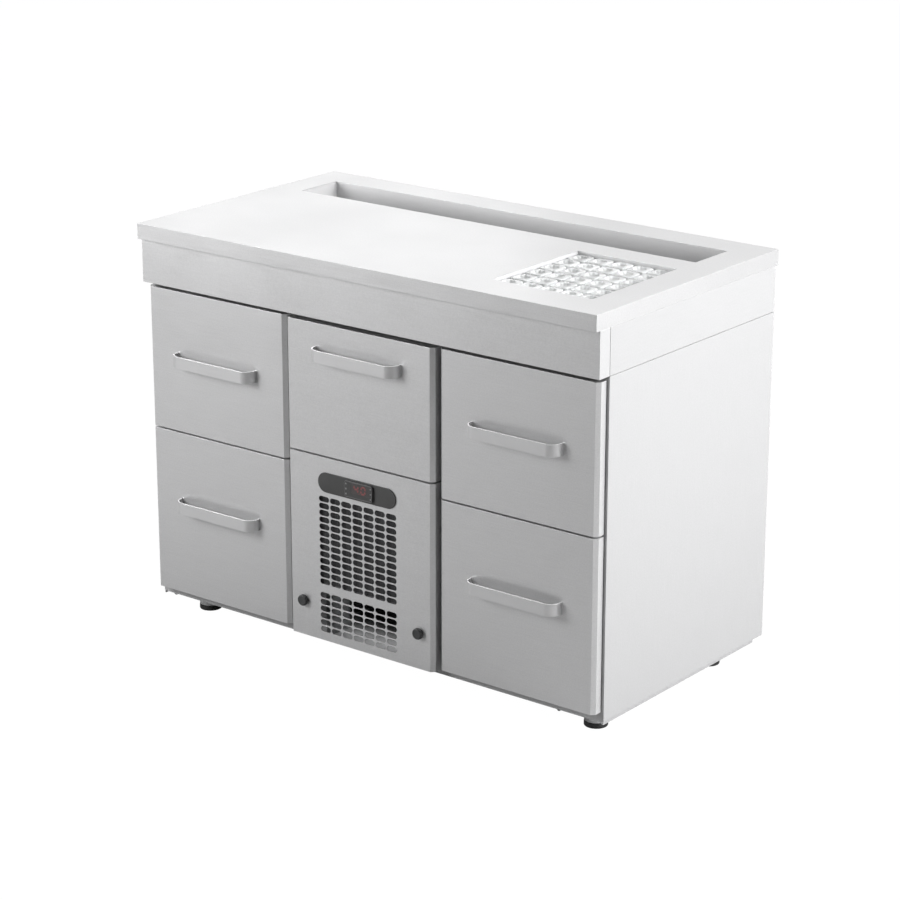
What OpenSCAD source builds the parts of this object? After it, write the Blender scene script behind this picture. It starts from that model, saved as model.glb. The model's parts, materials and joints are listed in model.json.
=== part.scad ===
// Refrigerated bar station: a steel counter with a bottle well, an ice well,
// five drawers on telescopic runners and a cooling unit behind a slotted panel.
// Millimetres. Origin on the floor under the middle of the outer box. Front faces -Y.

/* [Counter] */
// Width of the worktop, side to side
counter_w = 1200; // [1160:10:1300]
// Depth of the worktop, front to back
counter_d = 650; // [640:5:700]
// Height of the worktop above the floor
counter_h = 900; // [880:5:940]
// Visible thickness of the worktop edge
top_t = 34; // [30:1:40]
// Height of the apron under the worktop
apron_h = 97; // [90:1:110]
// Distance from the worktop's front edge back to the apron
apron_setback = 12.5; // [8:0.5:16]
// Thickness of the folded sheet
skin = 2; // [1.5:0.5:2]

/* [Fronts] */
// Distance from the worktop's front edge back to the side drawer fronts
front_setback = 20.5; // [19:0.5:24]
// How far the middle column stands in front of the side columns
mid_proud = 8; // [4:0.5:8]
// Distance from the counter's side to the nearest drawer front
side_inset = 6; // [4:1:8]
// Gap between neighbouring columns
column_gap = 9; // [7:1:11]
// Gap between a front and the one below it
row_gap = 4; // [3:1:6]
// Width of the bevel down both edges of each front
bevel = 8; // [5:1:10]
// Height of the lower edge of the side drawers
side_bottom = 69.5; // [66:0.5:74]
// Height of the split between upper and lower side drawers
side_split = 443.5; // [435:0.5:450]
// Height of the lower edge of the machine panel
panel_bottom = 62; // [60:0.5:66]
// Height of the split between the middle drawer and the machine panel
mid_split = 474.5; // [470:0.5:480]

/* [Handles] */
// Overall length of a handle
handle_w = 226; // [200:2:240]
// Height of the handle's flat strip
handle_h = 26; // [20:1:30]
// Distance the handle stands out
handle_reach = 28.5; // [26:0.5:34]
// Thickness of the handle's strip
handle_t = 3; // [3:0.5:5]
// Outer radius of the handle's bends
handle_r = 24; // [16:1:25]

/* [Drawers] */
// Travel of the four side drawers
side_travel = 440; // [300:10:440]
// Travel of the middle drawer
mid_travel = 280; // [200:10:280]
// Length of a side drawer's box
side_box_len = 500; // [460:10:520]
// Length of the middle drawer's box
mid_box_len = 320; // [300:10:325]

/* [Wells] */
// Length of the bottle well
bottle_w = 1051; // [900:1:1060]
// Width of the bottle well, front to back
bottle_d = 119; // [100:1:120]
// Depth of the bottle well
bottle_depth = 155; // [120:5:155]
// Number of ice blocks side to side
ice_cols = 5; // [3:1:5]
// Number of ice blocks front to back
ice_rows = 6; // [4:1:6]
// Spacing of the ice blocks
ice_pitch = 48.8; // [44:0.1:48.8]
// Depth of the ice well
ice_depth = 83; // [75:1:83]
// How far the ice block tops lie under the worktop
ice_drop = 6; // [4:1:20]

/* [Grille] */
// Length of a slot
slot_w = 27.5; // [20:0.5:28]
// Height of a slot
slot_h = 12.6; // [8:0.1:13]
// Spacing of the slots side to side
slot_dx = 30.1; // [30:0.1:32]
// Spacing of the slots up and down
slot_dz = 15.4; // [15:0.1:16]
// Number of slots in a row
slot_cols = 7; // [5:1:7]
// Rows of slots under the plain strip
rows_low = 6; // [3:1:6]
// Rows of slots over the plain strip
rows_high = 13; // [8:1:13]
// Thickness of the machine panel's sheet
panel_t = 1.2; // [1:0.1:2]

/* [Hidden] */
$fn = 48;

STEEL = "gainsboro";
DARK = "dimgray";
BLACK = "#202224";
RUBBER = "#303030";
COPPER = "#b87345";

// Planes of the cabinet
half_w = counter_w / 2;
overhang = handle_reach - front_setback + mid_proud;
top_front = (overhang - counter_d) / 2;
top_back = top_front + counter_d;
top_under = counter_h - top_t;
apron_y = top_front + apron_setback;
apron_z = top_under - apron_h;
cab_front = top_front + 47;
cab_back = top_back - 10;
wall_t = 45;
seam = 1;
base_z = 49;
flange_z = 42.5;
wall_top = apron_z - seam;

// Fronts
fronts_top = apron_z - column_gap;
front_w = (counter_w - 2 * side_inset - 2 * column_gap) / 3;
side_front_y = top_front + front_setback;
mid_front_y = side_front_y - mid_proud;
front_back = cab_front - 2;
seat_depth = 6;
seat_y = front_back - seat_depth;

// Compartments
divider_t = 40;
divider_x = (front_w + column_gap) / 2;
rear_wall_y = cab_back - wall_t;
floor_top = 95;
deck_bottom = fronts_top - 25;
deck_top = counter_h - skin - ice_depth - skin - 1;
shelf_z = [mid_split - 22, mid_split + 25];
mullion_z = [side_split - 19, side_split + 19];

// Wells
bottle_back = top_back - 79;
bottle_front = bottle_back - bottle_d;
ice_right = bottle_w / 2;
ice_left = ice_right - ice_cols * ice_pitch;
ice_front = top_front + 92;
ice_back = ice_front + ice_rows * ice_pitch;
deck_back = bottle_front - 9;

// Runners: the rail is on the wall, the inner member on the box
runner_w = 14;
rail_h = 45;
rail_t = 1.5;
rail_y = cab_front + 2;
side_rail_len = 460;
mid_rail_len = 300;

// Machine panel details
grille_x = -5.5;
low_row_z = side_bottom + 18;
plate_x = -5.5;
plate_w = 209;
plate_h = 44;
plate_z = 419;
plate_t = 2.5;
ctrl_x = 3;
ctrl_w = 75;
ctrl_h = 36;
ctrl_t = 4.5;
ctrl_z = 420;
ctrl_y = mid_front_y - plate_t - ctrl_t;
window_x = 9;
window_z = 423.5;
window_w = 50;
window_h = 24;
key_r = 2;
key_gap = 0.05;
key_dx = 32.3;
key_dz = 11;
key_travel = 0.6;
knob_r = 12.2;
knob_t = 10;
knob_z = 142;
knob_shaft_r = 4;
shaft_gap = 0.05;
knob_x = [-154.5, 158];

// Feet
foot_x = half_w - 70;
foot_y = [top_front + 121.7, top_back - 112.3];
pad_r = 25;
stud_r = 6;

// Cooling unit
unit_x = 130;
cond_y = [cab_front + 26, cab_front + 82];
cond_z = [180, 400];
cond_mid_y = (cond_y[0] + cond_y[1]) / 2;
cond_mid_z = (cond_z[0] + cond_z[1]) / 2;
cond_fan_y = [cond_y[1] + 6, cond_y[1] + 30];
evap_y = [rear_wall_y - 158, rear_wall_y - 98];
evap_z = [540, 700];
evap_mid_y = (evap_y[0] + evap_y[1]) / 2;
evap_mid_z = (evap_z[0] + evap_z[1]) / 2;
evap_fan_y = [evap_y[0] - 26, evap_y[0] - 6];
motor_shaft_r = 3;
comp_x = -50;
comp_y = rear_wall_y - 150;
comp_top = 250;

// One row per drawer: column, lower edge, upper edge, handle drop from the upper edge
UL = [0, side_split + row_gap / 2, fronts_top, 149];
LL = [0, side_bottom, side_split - row_gap / 2, 162];
MID = [1, mid_split + row_gap / 2, fronts_top, 62];
UR = [2, side_split + row_gap / 2, fronts_top, 149];
LR = [2, side_bottom, side_split - row_gap / 2, 162];
DRAWERS = [UL, LL, MID, UR, LR];

function front_x(c) = -half_w + side_inset + c * (front_w + column_gap);
function front_y(c) = c == 1 ? mid_front_y : side_front_y;
function room_lo(c) = c == 0 ? -half_w + wall_t : c == 1 ? -divider_x + divider_t / 2
                                                        : divider_x + divider_t / 2;
function room_hi(c) = c == 0 ? -divider_x - divider_t / 2 : c == 1 ? divider_x - divider_t / 2
                                                                   : half_w - wall_t;
function box_len(c) = c == 1 ? mid_box_len : side_box_len;
function rail_len(c) = c == 1 ? mid_rail_len : side_rail_len;
function box_lo_z(d) = d[1] + 36;
function box_hi_z(d) = d[2] - 40;
function rail_mid_z(d) = (box_lo_z(d) + box_hi_z(d)) / 2;

// ---------- shared shapes ----------

module block(lo, hi) {
    translate(lo) cube(hi - lo);
}

// Box of folded sheet, open on one hidden side. open is the direction of that side.
module sheet_box(lo, hi, open) {
    reach = 2 * skin;
    difference() {
        block(lo, hi);
        block(
            [for (i = [0:2]) lo[i] + (open[i] < 0 ? -reach : skin)],
            [for (i = [0:2]) hi[i] + (open[i] > 0 ? reach : -skin)]
        );
    }
}

module tube_y(r, y0, y1, x, z) {
    translate([x, y1, z]) rotate([90, 0, 0]) cylinder(r = r, h = y1 - y0);
}

// Outline of a front seen from above, with a bevel at both front corners
module front_outline(w, d, inset) {
    b = bevel - inset * (2 - sqrt(2));
    translate([inset, inset])
        polygon([[0, b], [b, 0], [w - 2 * inset - b, 0], [w - 2 * inset, b],
                 [w - 2 * inset, d - inset], [0, d - inset]]);
}

module obround(w, h) {
    for (side = [-1, 1]) translate([side * (w - h) / 2, 0]) circle(d = h);
    square([w - h, h], center = true);
}

// Channel section, open towards +X, web on the X = 0 side
module channel(depth, height, t) {
    difference() {
        translate([0, -height / 2]) square([depth, height]);
        translate([t, -height / 2 + t]) square([depth, height - 2 * t]);
    }
}

// Member of a runner at distance u from the wall, for the left or the right wall
module runner_member(c, zc, len, u) {
    for (side = [0, 1])
        translate([side == 0 ? room_lo(c) : room_hi(c), rail_y + len, zc])
            mirror([side, 0, 0])
                translate([u, 0, 0]) rotate([90, 0, 0]) linear_extrude(len) children();
}

// Round bar through a list of points
module bar(points, r) {
    for (i = [0:len(points) - 2]) {
        a = points[i];
        v = points[i + 1] - a;
        l = norm(v);
        translate(a) rotate([0, acos(v[2] / l), atan2(v[1], v[0])]) cylinder(r = r, h = l);
        if (i > 0) translate(a) sphere(r = r);
    }
}

// ---------- cabinet ----------

module worktop() {
    lip = 30;
    color(STEEL) difference() {
        block([-half_w, top_front, top_under], [half_w, top_back, counter_h]);
        block([-half_w + skin, top_front + skin, top_under + skin],
              [half_w - skin, top_back - skin, counter_h - skin]);
        block([-half_w + lip, top_front + lip, top_under - skin],
              [half_w - lip, top_back - lip, counter_h - skin]);
        block([-bottle_w / 2, bottle_front, top_under], [bottle_w / 2, bottle_back, counter_h + skin]);
        block([ice_left, ice_front, top_under], [ice_right, ice_back, counter_h + skin]);
    }
}

module front_apron() {
    color(STEEL) sheet_box([-half_w, apron_y, apron_z], [half_w, cab_front - seam / 2, top_under],
                           [0, 1, 0]);
}

module side_aprons() {
    color(STEEL) for (side = [0, 1]) mirror([side, 0, 0])
        sheet_box([half_w - wall_t, cab_front + seam / 2, apron_z], [half_w, cab_back, top_under],
                  [-1, 0, 0]);
}

module side_panel() {
    sheet_box([half_w - wall_t, cab_front, base_z], [half_w, cab_back, wall_top], [0, 0, 1]);
}

module side_panel_right() {
    color(STEEL) side_panel();
}

module side_panel_left() {
    color(STEEL) mirror([1, 0, 0]) side_panel();
}

// Rear wall with air slots behind the cooling unit
module rear_wall() {
    vents = 10;
    vent_w = 240;
    vent_h = 10;
    vent_dz = 26;
    color(STEEL) difference() {
        sheet_box([-half_w + wall_t, rear_wall_y, base_z], [half_w - wall_t, cab_back - skin, top_under],
                  [0, 0, 1]);
        for (i = [0:vents - 1])
            block([-vent_w / 2, rear_wall_y - skin, 110 + i * vent_dz],
                  [vent_w / 2, cab_back + skin, 110 + i * vent_dz + vent_h]);
    }
}

// Floor sheet with a flange turned down along both sides
module base_pan() {
    flange_t = 3;
    pan_back = top_back - 46;
    color(STEEL) difference() {
        union() {
            block([-half_w + 1, cab_front, base_z - skin], [half_w - 1, pan_back, base_z]);
            for (side = [0, 1]) mirror([side, 0, 0])
                block([half_w - 1 - flange_t, cab_front, flange_z], [half_w - 1, pan_back, base_z]);
        }
        for (x = [-foot_x, foot_x], y = foot_y)
            translate([x, y, flange_z]) cylinder(r = stud_r + 2, h = base_z);
    }
}

// Two insulated walls between the columns, with tabs that take the panel knobs
module dividers() {
    tab = [cab_front + 2, cab_front + 14];
    color(STEEL) for (side = [0, 1]) {
        sign = side == 0 ? -1 : 1;
        union() {
            mirror([1 - side, 0, 0])
                sheet_box([divider_x - divider_t / 2, cab_front, base_z],
                          [divider_x + divider_t / 2, rear_wall_y - 2, deck_bottom], [0, 0, 1]);
            difference() {
                x = sort2(knob_x[side] - sign * 12, sign * (divider_x - divider_t / 2));
                block([x[0], tab[0], knob_z - 14], [x[1], tab[1], knob_z + 14]);
                tube_y(knob_shaft_r + shaft_gap, tab[0] - 1, tab[1] + 1, knob_x[side], knob_z);
            }
        }
    }
}

function sort2(a, b) = a < b ? [a, b] : [b, a];

// Floors of the side columns, the bars between their drawers, the shelf over the
// cooling unit and the deck under the wells
module insulated_shelves() {
    mullion_d = 30;
    shelf_back = rear_wall_y - 40;
    color(STEEL) {
        for (c = [0, 2]) {
            sheet_box([room_lo(c), cab_front, base_z], [room_hi(c), rear_wall_y, floor_top],
                      [0, 0, -1]);
            sheet_box([room_lo(c), cab_front, mullion_z[0]],
                      [room_hi(c), cab_front + mullion_d, mullion_z[1]], [0, 1, 0]);
        }
        sheet_box([room_lo(1), cab_front, shelf_z[0]], [room_hi(1), shelf_back, shelf_z[1]],
                  [0, 1, 0]);
        sheet_box([-half_w + wall_t, cab_front, deck_bottom], [half_w - wall_t, deck_back, deck_top],
                  [0, 1, 0]);
    }
}

// ---------- wells ----------

module well(x, y, depth) {
    color(STEEL) sheet_box([x[0] - skin, y[0] - skin, counter_h - skin - depth - skin],
                           [x[1] + skin, y[1] + skin, counter_h - skin], [0, 0, 1]);
}

module bottle_well() {
    well([-bottle_w / 2, bottle_w / 2], [bottle_front, bottle_back], bottle_depth);
}

module ice_well() {
    well([ice_left, ice_right], [ice_front, ice_back], ice_depth);
}

// Clear moulded blocks joined by a thin web, lifting out as one piece
module ice_insert() {
    web_t = 3;
    gap = 2.4;
    z0 = counter_h - skin - ice_depth + 1;
    color("lightcyan", 0.5) {
        block([ice_left + 2, ice_front + 2, z0], [ice_right - 2, ice_back - 2, z0 + web_t]);
        for (i = [0:ice_cols - 1], j = [0:ice_rows - 1])
            block([ice_left + i * ice_pitch + gap, ice_front + j * ice_pitch + gap, z0],
                  [ice_left + (i + 1) * ice_pitch - gap, ice_front + (j + 1) * ice_pitch - gap,
                   counter_h - ice_drop]);
    }
}

// ---------- machine panel and controller ----------

module slot_field() {
    for (i = [0:slot_cols - 1], k = [0:rows_low + rows_high])
        if (k != rows_low)
            translate([grille_x + (i - (slot_cols - 1) / 2) * slot_dx, low_row_z + k * slot_dz])
                obround(slot_w, slot_h);
}

module machine_panel() {
    x0 = front_x(1);
    d = front_back - mid_front_y;
    h = mid_split - row_gap / 2 - panel_bottom;
    color(STEEL) difference() {
        translate([x0, mid_front_y, panel_bottom]) linear_extrude(h) front_outline(front_w, d, 0);
        translate([x0, mid_front_y, panel_bottom + panel_t])
            linear_extrude(h - 2 * panel_t) front_outline(front_w, d + 2 * panel_t, panel_t);
        translate([0, mid_front_y + 3 * skin, 0]) rotate([90, 0, 0])
            linear_extrude(5 * skin) slot_field();
        block([ctrl_x - ctrl_w / 2 + 2, mid_front_y - 1, ctrl_z - ctrl_h / 2 + 3],
              [ctrl_x + ctrl_w / 2 - 2, mid_front_y + 3 * skin, ctrl_z + ctrl_h / 2 - 3]);
        for (x = knob_x)
            tube_y(knob_shaft_r + shaft_gap, mid_front_y - 1, mid_front_y + 3 * skin, x, knob_z);
    }
}

module controller_plate() {
    color(BLACK) difference() {
        translate([plate_x, mid_front_y, plate_z]) rotate([90, 0, 0])
            linear_extrude(plate_t) obround(plate_w, plate_h);
        block([ctrl_x - ctrl_w / 2 + 2, mid_front_y - plate_t - 1, ctrl_z - ctrl_h / 2 + 3],
              [ctrl_x + ctrl_w / 2 - 2, mid_front_y + 1, ctrl_z + ctrl_h / 2 - 3]);
    }
}

// Bezel in front of the plate and a housing that passes back through the panel
module controller_body() {
    bezel_r = 5;
    housing_d = 52;
    well_d = 1.5;
    key_bore = 4;
    color(BLACK) difference() {
        union() {
            translate([ctrl_x, ctrl_y + ctrl_t, ctrl_z]) rotate([90, 0, 0]) linear_extrude(ctrl_t) {
                for (sx = [-1, 1], sz = [-1, 1])
                    translate([sx * (ctrl_w / 2 - bezel_r), sz * (ctrl_h / 2 - bezel_r)])
                        circle(r = bezel_r);
                square([ctrl_w - 2 * bezel_r, ctrl_h], center = true);
                square([ctrl_w, ctrl_h - 2 * bezel_r], center = true);
            }
            block([ctrl_x - ctrl_w / 2 + 2.5, ctrl_y + ctrl_t, ctrl_z - ctrl_h / 2 + 3.5],
                  [ctrl_x + ctrl_w / 2 - 2.5, ctrl_y + ctrl_t + housing_d, ctrl_z + ctrl_h / 2 - 3.5]);
        }
        block([window_x - window_w / 2, ctrl_y - 1, window_z - window_h / 2],
              [window_x + window_w / 2, ctrl_y + well_d, window_z + window_h / 2]);
        for (k = [-1:1])
            tube_y(key_r + key_gap, ctrl_y - 1, ctrl_y + key_bore, ctrl_x - key_dx, ctrl_z + k * key_dz);
    }
}

module display_window() {
    color("darkred") block([window_x - window_w / 2, ctrl_y + 0.2, window_z - window_h / 2],
                           [window_x + window_w / 2, ctrl_y + 1.5, window_z + window_h / 2]);
}

module key(k) {
    color(DARK) tube_y(key_r, ctrl_y - key_travel, ctrl_y + 3, ctrl_x - key_dx, ctrl_z + k * key_dz);
}

module key_1() {
    key(1);
}

module key_2() {
    key(0);
}

module key_3() {
    key(-1);
}

// Round knob on a shaft that passes through the panel into a tab behind it
module knob(x) {
    rib = 1;
    color(BLACK) {
        tube_y(knob_r - rib, mid_front_y - knob_t, mid_front_y, x, knob_z);
        tube_y(knob_r, mid_front_y - knob_t + 1, mid_front_y - 2, x, knob_z);
        tube_y(knob_shaft_r, mid_front_y - 1, cab_front + 13, x, knob_z);
    }
}

module knob_left() {
    knob(knob_x[0]);
}

module knob_right() {
    knob(knob_x[1]);
}

// ---------- feet ----------

// Cast disc and cup with a rubber tread, and a stud that screws up into the mount
module foot(x, y) {
    pad_h = 12;
    cup_top = 43;
    color(RUBBER) translate([x, y, 0]) {
        cylinder(r = pad_r, h = pad_h);
        translate([0, 0, pad_h]) cylinder(r = pad_r - 0.5, h = cup_top - pad_h);
        cylinder(r = stud_r, h = 78);
    }
}

module foot_fl() {
    foot(-foot_x, foot_y[0]);
}

module foot_fr() {
    foot(foot_x, foot_y[0]);
}

module foot_bl() {
    foot(-foot_x, foot_y[1]);
}

module foot_br() {
    foot(foot_x, foot_y[1]);
}

// Bush above the floor sheet, plate below it and four conical nuts, at each foot
module foot_mounts() {
    plate = [62, 64, 3];
    bolt = [53, 55];
    nub_r = 9.5;
    nub_tip = 2.5;
    nub_h = 9;
    bore_r = stud_r + shaft_gap;
    color(DARK) for (x = [-foot_x, foot_x], y = foot_y) translate([x, y, 0]) {
        difference() {
            translate([0, 0, base_z]) cylinder(r = 12, h = 36);
            translate([0, 0, base_z - 1]) cylinder(r = bore_r, h = 40);
        }
        difference() {
            block([-plate[0], -plate[1], base_z - skin - plate[2]],
                  [plate[0], plate[1], base_z - skin]);
            translate([0, 0, flange_z - 1]) cylinder(r = stud_r + 2, h = 10);
        }
        for (bx = [-1, 1], by = [-1, 1])
            translate([bx * bolt[0], by * bolt[1], base_z - skin - plate[2] - nub_h])
                cylinder(r1 = nub_tip, r2 = nub_r, h = nub_h);
    }
}

// ---------- drawers ----------

// Folded front: a beveled shell with a recess behind for the gasket
module drawer_front(d) {
    c = d[0];
    y0 = front_y(c);
    depth = front_back - y0;
    h = d[2] - d[1];
    window = 20;
    color(STEEL) difference() {
        translate([front_x(c), y0, d[1]]) linear_extrude(h) front_outline(front_w, depth, 0);
        translate([front_x(c), y0, d[1] + skin]) linear_extrude(h - 2 * skin)
            front_outline(front_w, depth - seat_depth - skin, skin);
        block([front_x(c) + skin, seat_y, d[1] + skin],
              [front_x(c) + front_w - skin, front_back + 1, d[2] - skin]);
        block([room_lo(c) + runner_w + window, y0 + skin, box_lo_z(d) + window],
              [room_hi(c) - runner_w - window, front_back, box_hi_z(d) - window]);
    }
}

module gasket(d) {
    c = d[0];
    inset = 3;
    width = 10;
    gap = 0.6;
    color(DARK) difference() {
        block([front_x(c) + inset, seat_y, d[1] + inset],
              [front_x(c) + front_w - inset, cab_front - gap, d[2] - inset]);
        block([front_x(c) + inset + width, seat_y - 1, d[1] + inset + width],
              [front_x(c) + front_w - inset - width, cab_front + 1, d[2] - inset - width]);
    }
}

// Open-topped box with the inner runner member on each side
module drawer_box(d) {
    c = d[0];
    lo = [room_lo(c) + runner_w, seat_y, box_lo_z(d)];
    hi = [room_hi(c) - runner_w, seat_y + box_len(c), box_hi_z(d)];
    member = [6, 26];
    color(STEEL) {
        sheet_box(lo, hi, [0, 0, 1]);
        runner_member(c, rail_mid_z(d), rail_len(c), runner_w - member[0])
            translate([0, -member[1] / 2]) square(member);
    }
}

module slide_pair(d) {
    color("silver") runner_member(d[0], rail_mid_z(d), rail_len(d[0]), 3.5)
        channel(9, rail_h - 6, rail_t);
}

module runner_rails() {
    color("silver") for (d = DRAWERS)
        runner_member(d[0], rail_mid_z(d), rail_len(d[0]), 0) channel(12, rail_h, rail_t);
}

// Flat strip bent into a bow
module handle(d) {
    c = d[0];
    zc = d[2] - d[3];
    color(STEEL) translate([front_x(c) + front_w / 2, front_y(c), zc - handle_h / 2])
        linear_extrude(handle_h) difference() {
            bow(handle_w, handle_reach, handle_r);
            bow(handle_w - 2 * handle_t, handle_reach - handle_t, handle_r - handle_t);
        }
}

// Bow outline: straight back on the X axis, rounded front corners towards -Y
module bow(w, reach, r) {
    intersection() {
        for (side = [-1, 1]) translate([side * (w / 2 - r), -reach + r]) circle(r = r);
        translate([-w / 2, -reach]) square([w, reach]);
    }
    translate([-w / 2 + r, -reach]) square([w - 2 * r, reach]);
    translate([-w / 2, -reach + r]) square([w, reach - r]);
}

module front_ul() { drawer_front(UL); }
module gasket_ul() { gasket(UL); }
module box_ul() { drawer_box(UL); }
module handle_ul() { handle(UL); }
module slides_ul() { slide_pair(UL); }

module front_ll() { drawer_front(LL); }
module gasket_ll() { gasket(LL); }
module box_ll() { drawer_box(LL); }
module handle_ll() { handle(LL); }
module slides_ll() { slide_pair(LL); }

module front_mid() { drawer_front(MID); }
module gasket_mid() { gasket(MID); }
module box_mid() { drawer_box(MID); }
module handle_mid() { handle(MID); }
module slides_mid() { slide_pair(MID); }

module front_ur() { drawer_front(UR); }
module gasket_ur() { gasket(UR); }
module box_ur() { drawer_box(UR); }
module handle_ur() { handle(UR); }
module slides_ur() { slide_pair(UR); }

module front_lr() { drawer_front(LR); }
module gasket_lr() { gasket(LR); }
module box_lr() { drawer_box(LR); }
module handle_lr() { handle(LR); }
module slides_lr() { slide_pair(LR); }

// ---------- cooling unit ----------

// Finned coil: end plates, header bars and fins joined by tubes
module coil(y, z, fins) {
    end_t = 3;
    bar_h = 8;
    pitch = (2 * unit_x - end_t) / fins;
    rows = floor((z[1] - z[0]) / 40);
    for (i = [0:fins])
        translate([-unit_x + i * pitch, y[0], z[0]])
            cube([i == 0 || i == fins ? end_t : 1, y[1] - y[0], z[1] - z[0]]);
    for (k = [0:rows - 1])
        translate([-unit_x, (y[0] + y[1]) / 2, z[0] + (k + 0.5) * (z[1] - z[0]) / rows])
            rotate([0, 90, 0]) cylinder(r = 5, h = 2 * unit_x);
    for (zz = [z[0], z[1] - bar_h])
        block([-unit_x, y[0], zz], [unit_x, y[0] + 3, zz + bar_h]);
}

// Axial fan with tilted blades, its hub bored for the motor shaft
module fan(y, z, r, blades) {
    hub_r = r / 4;
    pitch_angle = 32;
    translate([0, (y[0] + y[1]) / 2, z]) difference() {
        union() {
            intersection() {
                for (i = [0:blades - 1]) rotate([0, i * 360 / blades, 0])
                    translate([hub_r - 2, 0, 0]) rotate([pitch_angle, 0, 0])
                        translate([0, -0.75, -r * 0.28]) cube([r, 1.5, r * 0.56]);
                tube_y(r, (y[0] - y[1]) / 2, (y[1] - y[0]) / 2, 0, 0);
            }
            tube_y(hub_r, (y[0] - y[1]) / 2, (y[1] - y[0]) / 2, 0, 0);
        }
        tube_y(motor_shaft_r + shaft_gap, y[0] - y[1], y[1] - y[0], 0, 0);
    }
}

module condenser() {
    color(DARK) {
        coil(cond_y, cond_z, 26);
        for (side = [0, 1]) mirror([side, 0, 0])
            block([unit_x - 3, cond_y[0], base_z], [unit_x + 15, cond_y[1], cond_z[0] + 20]);
    }
}

module condenser_fan() {
    color(DARK) fan(cond_fan_y, cond_mid_z, 98, 5);
}

module evaporator() {
    color("silver") {
        coil(evap_y, evap_z, 20);
        for (side = [0, 1]) mirror([side, 0, 0])
            block([unit_x - 3, evap_y[0], shelf_z[1]], [unit_x + 15, evap_y[1], evap_z[0] + 20]);
    }
}

module evaporator_fan() {
    color(DARK) fan(evap_fan_y, evap_mid_z, 65, 5);
}

// Motor with its shaft in the fan, held by a bar and two arms on the coil's end plates.
// dir is the side of the fan the motor sits on; coil_y is the coil's face on that side.
module motor(fan_y, z, dir, coil_y) {
    arm_t = 4;
    grip = 20;
    near = dir > 0 ? fan_y[1] : fan_y[0];
    far = dir > 0 ? fan_y[0] : fan_y[1];
    body = sort2(near + dir * 12, near + dir * 34);
    shaft = sort2(far + dir * 2, near + dir * 13);
    bar_y = sort2(near + dir * 16, near + dir * (16 + arm_t));
    arm = sort2(coil_y - dir * grip, near + dir * (16 + arm_t));
    tube_y(24, body[0], body[1], 0, z);
    tube_y(motor_shaft_r, shaft[0], shaft[1], 0, z);
    block([-unit_x - arm_t, bar_y[0], z - 8], [unit_x + arm_t, bar_y[1], z + 8]);
    for (side = [0, 1]) mirror([side, 0, 0])
        block([unit_x, arm[0], z - 8], [unit_x + arm_t, arm[1], z + 8]);
}

module fan_motors() {
    color(DARK) {
        motor(cond_fan_y, cond_mid_z, 1, cond_y[1]);
        motor(evap_fan_y, evap_mid_z, -1, evap_y[0]);
    }
}

// Sealed compressor on a base plate with four rubber bushes and a terminal box
module compressor() {
    pot_r = 74;
    plate = [85, 72];
    color(BLACK) translate([comp_x, comp_y, 0]) {
        rotate_extrude() {
            translate([0, 72]) square([pot_r, comp_top - 72 - 30]);
            translate([0, comp_top - 60]) square([pot_r - 30, 60]);
            translate([pot_r - 30, comp_top - 30]) intersection() {
                circle(r = 30);
                square(30);
            }
        }
        block([-plate[0], -plate[1], 66], [plate[0], plate[1], 72]);
        for (x = [-1, 1], y = [-1, 1]) translate([x * 72, y * 60, base_z])
            cylinder(r = 9, h = 17);
        block([pot_r - 6, -28, 130], [pot_r + 26, 28, 200]);
        translate([0, pot_r - 8, 180]) rotate([-90, 0, 0]) cylinder(r = 8, h = 18);
    }
}

module refrigerant_pipes() {
    r = 4;
    run_x = unit_x + 30;
    lane_y = rear_wall_y - 24;
    stub_y = comp_y + 84;
    color(COPPER) {
        bar([[comp_x, comp_y, comp_top], [comp_x, comp_y, 430], [comp_x, cond_mid_y, 430],
             [comp_x, cond_mid_y, cond_z[1]]], r);
        bar([[unit_x, cond_mid_y, 230], [run_x, cond_mid_y, 230], [run_x, lane_y, 230],
             [run_x, lane_y, 600], [run_x, evap_mid_y, 600], [unit_x, evap_mid_y, 600]], r);
        bar([[-unit_x, evap_mid_y, 640], [-run_x, evap_mid_y, 640], [-run_x, lane_y, 640],
             [-run_x, lane_y, 180], [comp_x, lane_y, 180], [comp_x, stub_y, 180]], r);
    }
}

// Cord from a gland in the rear wall down to the floor, with a plain plug
module power_cord() {
    r = 3.5;
    x = 300;
    y = cab_back + 4;
    plug = [420, cab_back + 1, 9];
    plug_r = 9;
    plug_len = 34;
    color(BLACK) {
        tube_y(9, cab_back - skin, cab_back + 8, x, 150);
        bar([[x, y, 150], [x, y, r], [plug[0] + 2, y, r]], r);
        translate(plug) rotate([0, 90, 0]) cylinder(r = plug_r, h = plug_len);
        for (z = [-5, 5]) translate(plug + [plug_len, 0, z]) rotate([0, 90, 0])
            cylinder(r = 2, h = 18);
    }
}

// ---------- nodes ----------

worktop();
front_apron();
side_aprons();
side_panel_left();
side_panel_right();
rear_wall();
base_pan();
dividers();
insulated_shelves();
bottle_well();
ice_well();
ice_insert();
machine_panel();
controller_plate();
controller_body();
display_window();
key_1();
key_2();
key_3();
knob_left();
knob_right();
foot_fl();
foot_fr();
foot_bl();
foot_br();
foot_mounts();
runner_rails();
front_ul();
gasket_ul();
box_ul();
handle_ul();
slides_ul();
front_ll();
gasket_ll();
box_ll();
handle_ll();
slides_ll();
front_mid();
gasket_mid();
box_mid();
handle_mid();
slides_mid();
front_ur();
gasket_ur();
box_ur();
handle_ur();
slides_ur();
front_lr();
gasket_lr();
box_lr();
handle_lr();
slides_lr();
condenser();
condenser_fan();
fan_motors();
compressor();
evaporator();
evaporator_fan();
refrigerant_pipes();
power_cord();
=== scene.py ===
"""Looks of a refrigerated bar station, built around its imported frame."""

import json
import math
import random

import bmesh
import bpy
from mathutils import Matrix, Vector


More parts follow.
